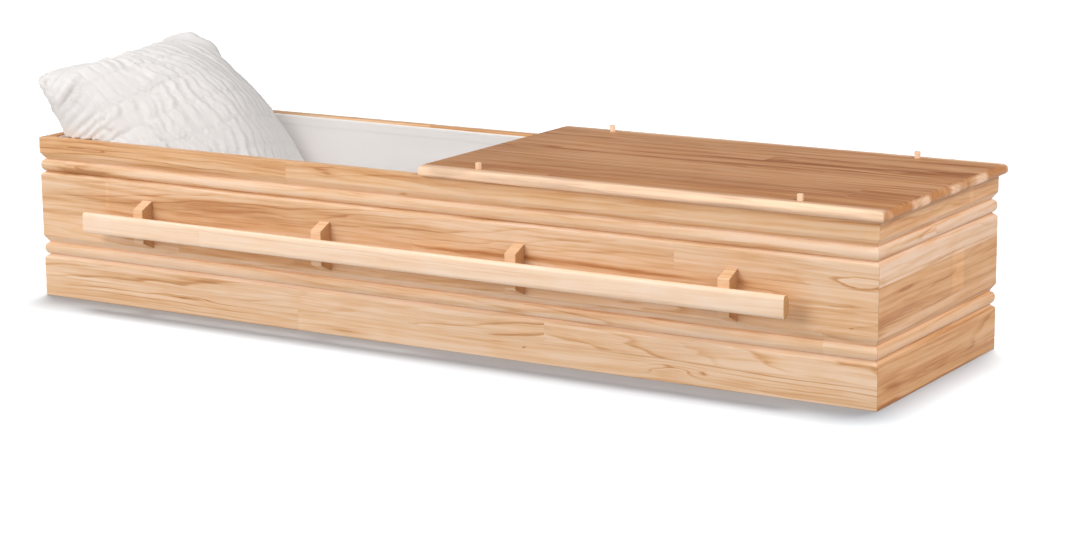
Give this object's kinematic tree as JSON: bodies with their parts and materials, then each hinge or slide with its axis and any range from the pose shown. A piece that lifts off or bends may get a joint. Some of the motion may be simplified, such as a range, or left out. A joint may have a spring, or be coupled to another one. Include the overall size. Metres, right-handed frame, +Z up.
{
  "type": "wooden casket",
  "caption": "Rectangular wooden casket with moulded sides, open at the head, with a lift-off foot lid, carrying bars, a cloth lining and a pillow.",
  "frame": {"origin": "middle of the underside, half-way between the head and foot walls and between the long walls", "axes": "+X from the head to the foot, +Y from the front long side to the back, +Z up"},
  "size_m": [2.0921, 0.6846, 0.5538],
  "materials": {
    "honey_wood": "clear satin lacquer over light figured boards",
    "pale_wood": "clear satin lacquer over pale, nearly plain wood",
    "lining_cloth": "smooth white cloth",
    "pillow_cloth": "white shirred cloth with fine gathers"
  },
  "bodies": {
    "root": {"front_wall": "honey_wood", "back_wall": "honey_wood", "head_wall": "honey_wood", "foot_wall": "honey_wood", "bottom_board": "honey_wood", "foot_lid": "honey_wood", "lid_peg_front_near_middle": "pale_wood", "lid_peg_front_near_foot": "pale_wood", "lid_peg_back_near_middle": "pale_wood", "lid_peg_back_near_foot": "pale_wood", "front_carrying_bar": "pale_wood", "back_carrying_bar": "pale_wood", "front_bar_bracket_1": "honey_wood", "front_bar_bracket_2": "honey_wood", "front_bar_bracket_3": "honey_wood", "front_bar_bracket_4": "honey_wood", "back_bar_bracket_1": "honey_wood", "back_bar_bracket_2": "honey_wood", "back_bar_bracket_3": "honey_wood", "back_bar_bracket_4": "honey_wood", "lining": "lining_cloth", "pillow": "pillow_cloth"}
  },
  "joints": []
}
